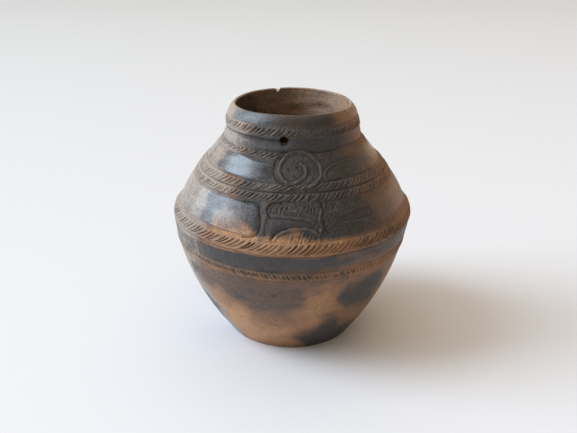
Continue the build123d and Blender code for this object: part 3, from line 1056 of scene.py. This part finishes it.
def clay(name):
    """Fired clay: brown to orange where air reached it, grey-black where smoke did."""
    material, n, shader = new_material(name)
    place = n.add("TexCoord").outputs["Object"]

    def mask(key):
        node = n.add("Attribute")
        node.attribute_name = key
        return node.outputs["Fac"]

    def noise(size, detail, roughness, seed, stretch=(1, 1, 1)):
        moved = n.add("Mapping")
        moved.inputs["Location"].default_value = (seed, seed * 0.7, seed * 1.3)
        moved.inputs["Scale"].default_value = stretch
        n.links.new(place, moved.inputs["Vector"])
        node = n.add("TexNoise")
        node.inputs["Scale"].default_value = 1.0 / (size * MM)
        node.inputs["Detail"].default_value = detail
        node.inputs["Roughness"].default_value = roughness
        n.links.new(moved.outputs["Vector"], node.inputs["Vector"])
        return n.ramp(node.outputs["Fac"], 0.32, 0.68)

    dark, warm, ash_and_sheen, burnish, cut, raised, worn = (mask(key) for key in MASKS)
    blotch = noise(30, 3.0, 0.5, 1.0)
    patch = noise(8, 5.0, 0.65, 2.0)
    speck = noise(1.3, 3.0, 0.6, 3.0)
    grain = noise(0.5, 2.0, 0.5, 4.0)
    streak = noise(11, 5.0, 0.65, 5.0, (0.3, 0.3, 5.0))
    mottle = noise(3.2, 4.0, 0.6, 6.0)

    # bare clay, from brown to orange and tan, and ashy grey in places; on the lit left side that
    # grey is painted sheen of the window
    warmth = n.shifted(warm, (blotch, 0.30), (patch, 0.36), (mottle, 0.22))
    bare = n.mix(n.ramp(warmth, 0.0, 0.6), BROWN, ORANGE)
    bare = n.mix(n.ramp(warmth, 0.5, 1.1), bare, TAN)
    ash_and_sheen_level = n.shifted(ash_and_sheen, (patch, 0.3), (streak, 0.2))
    bare = n.mix(n.ramp(ash_and_sheen_level, 0.1, 1.0), bare, ASH_AND_SHEEN_GREY)
    # soot over it, dusty where it isn't burnished
    smoke = n.shifted(dark, (blotch, 0.20), (patch, 0.24), (streak, 0.14), (mottle, 0.18),
                      (speck, 0.10))
    soot = n.mix(n.ramp(n.shifted(patch, (streak, 0.6)), 0.2, 0.9), SOOT, SOOT_LIGHT)
    soot = n.mix(burnish, n.mix(speck, DUSTY, DUSTY_LIGHT), soot)
    colour = n.mix(n.ramp(smoke, 0.1, 0.9), bare, soot)
    # worn ridges with a painted highlight, cuts darkened with painted shade and smoke, pores and
    # grain, and the pale fresh chip
    shown = n.math("MULTIPLY", raised, n.math("MULTIPLY_ADD", dark, -0.5, 1.0))
    rubbed = n.math("MULTIPLY", shown, n.ramp(mottle, 0.1, 0.9, 0.15, 0.75))
    colour = n.mix(rubbed, colour, WEAR_AND_HIGHLIGHT)
    colour = n.darkened(n.math("MULTIPLY", cut, 0.92), colour, CUT_SHADE)
    pores = n.math("MULTIPLY", n.ramp(speck, 0.72, 1.0), n.ramp(patch, 0.0, 1.0, 0.1, 0.6))
    colour = n.darkened(pores, colour, PORE_SHADE)
    colour = n.darkened(n.ramp(grain, 0.0, 1.0, 0.0, 0.25), colour, GRAIN_SHADE)
    n.feed(shader.inputs["Base Color"], n.mix(worn, colour, CHIP))

    rough = n.ramp(burnish, 0.0, 1.0, MATT, POLISHED)
    rough = n.shifted(rough, (patch, 0.05), (streak, 0.05), (mottle, 0.06))
    n.feed(shader.inputs["Roughness"], rough)
    n.feed(shader.inputs["Specular IOR Level"], SPECULAR)

    grit = n.math("MULTIPLY", n.math("SUBTRACT", 1.12, burnish), n.math("ADD", speck, grain))
    unrubbed = n.math("MULTIPLY_ADD", n.math("SUBTRACT", 1.0, burnish), 0.4, 0.06)
    grit = n.math("ADD", grit, n.math("MULTIPLY", mottle, unrubbed))
    bump = n.add("Bump")
    bump.inputs["Strength"].default_value = BUMP_STRENGTH
    bump.inputs["Distance"].default_value = BUMP_DEPTH * MM
    n.feed(bump.inputs["Height"], n.math("ADD", grit, n.math("MULTIPLY", streak, 0.16)))
    n.feed(shader.inputs["Normal"], bump.outputs["Normal"])
    return material


materials = {name: clay(name) for name in ("burnished_clay", "tooled_clay")}


# ---- The pieces

# Points in a ring of the wall, the narrow neck and the foot; hidden rings have a fifth
WIDE, NARROW, FOOT = 1250, 1000, 800
HIDDEN_SHARE = 5
# Distance between the rings of finely drawn clay, and of the inside
FINE, INSIDE = 0.3, 2.2


def marks(low, high, step):
    """Marks a step apart along the outline, from one to the other."""
    length = abs(along_wall(high) - along_wall(low))
    count = max(2, int(round(length / step)) + 1)
    places = np.linspace(along_wall(low), along_wall(high), count)
    return np.interp(places, edge_s, edge_mark)


def joint_inside(joint):
    """Mark of the inner end of a joint that starts at this mark outside."""
    _, z, _, normal_z = outline(joint - lap)
    return inner_mark(z - normal_z * wall)


def wall_piece(node, low, high, outside, columns, step, inner_sheet=None, hole=None):
    """A piece of the wall, its ends hidden behind the cordons.

    low and high are its joints, with no low joint for the wall's first piece,
    and outside is the stretches that can be seen outside, from the bottom up.
    """
    back = columns // HIDDEN_SHARE
    sheets = []
    for stretch, sunk_to in zip(outside, [s[0] for s in outside[1:]] + [high]):
        sheets += [surface(marks(*stretch, step), columns), hidden(stretch[1], back),
                   hidden(sunk_to, back)]
    foot = edge_mark[-1] if low is None else joint_inside(low)
    sheets.append(inner_sheet or surface(marks(joint_inside(high), foot, INSIDE), back))
    if low is not None:
        sheets += [hidden(low, back), hidden(outside[0][0], back)]
    build(node, "burnished_clay", sheets, hole=hole)


def flat_rings(radii, height, up, columns, dark):
    """Level rings of the base disc, or its middle point when the only radius is 0."""
    radii = np.array(radii, float)[:, None]
    angle = np.radians(ring_angles(columns))[None, :]
    x, y = radii * np.sin(angle), -radii * np.cos(angle)
    z = height + 0.2 * waves(x, y, 0.0 * x, 16, 6) * (up > 0)
    normal = np.broadcast_to(np.array([0.0, 0.0, float(up)]), x.shape + (3,))
    values = dict.fromkeys(MASKS, 0.0) | {"dark": dark, "warm": 0.4, "ash_and_sheen": 0.5, "burnish": 0.15}
    level = {key: np.full(x.shape, value) for key, value in values.items()}
    return {"point": np.stack([x, y, z], axis=2), "normal": normal, "masks": level}


lower, belly, paired_low, paired_high, collar_foot, neck = CORDONS.values()
wall_piece("lower_wall", None, lower_joint, [(foot_edge[0], lower[0])], FOOT, 0.8)
wall_piece("belly_coil", lower_joint, belly_joint, [(lower[1], belly[0])], WIDE, 0.5)
wall_piece("shoulder_wall", belly_joint, shoulder_joint, [(belly[1], paired_low[0])], WIDE, 0.33)
for node, (low, high) in CORDONS.items():
    columns = NARROW if node == "neck_cordon" else WIDE
    back = columns // HIDDEN_SHARE
    face = surface(marks(low, high, FINE), columns)
    build(node, "tooled_clay", [face, hidden(high, back), hidden(low, back)])
wall_piece("upper_shoulder", shoulder_joint, neck_joint,
           [(paired_low[1], paired_high[0]), (paired_high[1], collar_foot[0])], WIDE, FINE)

# The neck's inside has a ring at the height of every outside ring near the hole
collar_top, collar_end = joint_inside(lip_joint), joint_inside(neck_joint)
outer_marks = marks(collar_foot[1], neck[0], FINE)
facing = outer_marks[outer_marks > 132.0][::-1]
above_hole = np.linspace(collar_top, inner_mark(facing[0]), 4)[:-1]
below_hole = np.linspace(inner_mark(facing[-1]), collar_end, 8)[1:]
inner_marks = np.concatenate([above_hole, [inner_mark(z) for z in facing], below_hole])
wall_piece("neck_collar", neck_joint, lip_joint, [(collar_foot[1], neck[0])], NARROW, FINE,
           surface(inner_marks, NARROW), bored(outer_marks, NARROW, 3, len(above_hole)))

back = NARROW // HIDDEN_SHARE
rim = surface(marks(neck[1], collar_top, 0.34), NARROW)
build("rim_coil", "burnished_clay", [rim, hidden(lip_joint, back), hidden(neck[1], back)])

back = FOOT // HIDDEN_SHARE
under, under_dark, floor_dark = 0.3, 0.4, 0.7
base = [
    flat_rings([0.0], under, -1, 1, under_dark),
    flat_rings([8.0, 18.0, 28.0, 36.0], under, -1, back, under_dark),
    surface(marks(0.0, foot_edge[0], 0.7), FOOT),
    flat_rings([32.0, 29.0, 25.0, 20.0, 15.0, 10.0, 5.0], floor_height, 1, back, floor_dark),
    flat_rings([0.0], floor_height, 1, 1, floor_dark),
]
build("base_disc", "burnished_clay", base, closed=False)


# ---- Stage, light and camera

# The floor's colour, darker from the front left to the back right: painted fall-off of the light
FLOOR_NEAR, FLOOR_FAR = (0.765, 0.757, 0.768), (0.555, 0.552, 0.53)
half = 6.0
paper, n, paper_shader = new_material("pale_floor")
floor_x, floor_y, _ = n.axes("Object")
light_falloff = n.math("MULTIPLY_ADD", floor_y, 0.45, n.math("MULTIPLY_ADD", floor_x, -0.2, 0.06))
n.feed(paper_shader.inputs["Base Color"], n.mix(light_falloff, FLOOR_NEAR, FLOOR_FAR))
n.feed(paper_shader.inputs["Roughness"], 0.55)
n.feed(paper_shader.inputs["Specular IOR Level"], 0.25)
sheet = bpy.data.meshes.new("floor")
corners = [(-half, -half, 0), (half, -half, 0), (half, half, 0), (-half, half, 0)]
sheet.from_pydata(corners, [], [(0, 1, 2, 3)])
sheet.materials.append(paper)
floor = bpy.data.objects.new("floor", sheet)
bpy.context.scene.collection.objects.link(floor)

# A room lit from above and behind, cooler from the left and warmer from the
# right, with a white backdrop low behind the pot. The camera sees a plain wall.
COOL, WARM = (0.88, 0.94, 1.0), (1.0, 0.80, 0.58)
PLAIN_WALL = (0.67, 0.67, 0.66)
world = bpy.data.worlds.new("room")
world.use_nodes = True
sky = Nodes(world.node_tree)
right, away, up = sky.axes("Generated")


def across_room(axis, low, high):
    return sky.ramp(axis, -1.0, 1.0, low, high, "LINEAR")


ceiling = sky.math("MULTIPLY", across_room(up, -0.83, 1.05), across_room(right, 1.3, 0.7))
ceiling = sky.math("MULTIPLY", ceiling, across_room(away, 0.66, 1.34))
ceiling = sky.math("MAXIMUM", ceiling, 0.05)
backdrop = sky.math("MULTIPLY", sky.ramp(away, 0.05, 0.7, 0.0, 0.45),
                    sky.ramp(up, 0.15, 0.6, 1.0, 0.0))
room_light, plain = world.node_tree.nodes["Background"], sky.add("Background")
sky.feed(room_light.inputs["Color"], sky.mix(across_room(right, -0.1, 1.4), COOL, WARM))
sky.feed(room_light.inputs["Strength"], sky.math("ADD", ceiling, backdrop))
sky.feed(plain.inputs["Color"], PLAIN_WALL)
seen = sky.add("MixShader")
sky.feed(seen.inputs["Fac"], sky.add("LightPath").outputs["Is Camera Ray"])
sky.feed(seen.inputs[1], room_light.outputs["Background"])
sky.feed(seen.inputs[2], plain.outputs["Background"])
sky.feed(world.node_tree.nodes["World Output"].inputs["Surface"], seen.outputs["Shader"])
bpy.context.scene.world = world

# One large, soft window on the left
window = bpy.data.lights.new("window", "AREA")
window.shape = "RECTANGLE"
window.size, window.size_y = 4.1, 8.7
window.energy = 1020.0
window.color = (0.70, 0.84, 1.0)
lamp = bpy.data.objects.new("window", window)
lamp.location = (-6.0, 0.1, 5.2)
lamp.rotation_euler = Vector((1.0, 0.0, 0.0)).to_track_quat("-Z", "Y").to_euler()
bpy.context.scene.collection.objects.link(lamp)

lens = bpy.data.cameras.new("camera")
lens.lens = 48.474
lens.sensor_width = 36.0
tilt_down = 22.29
camera = bpy.data.objects.new("camera", lens)
camera.location = (-0.00153, -0.46807, 0.2655)
camera.rotation_euler = (math.radians(90.0 - tilt_down), 0.0, 0.0)
bpy.context.scene.collection.objects.link(camera)
bpy.context.scene.camera = camera
bpy.context.scene.view_settings.view_transform = "Standard"
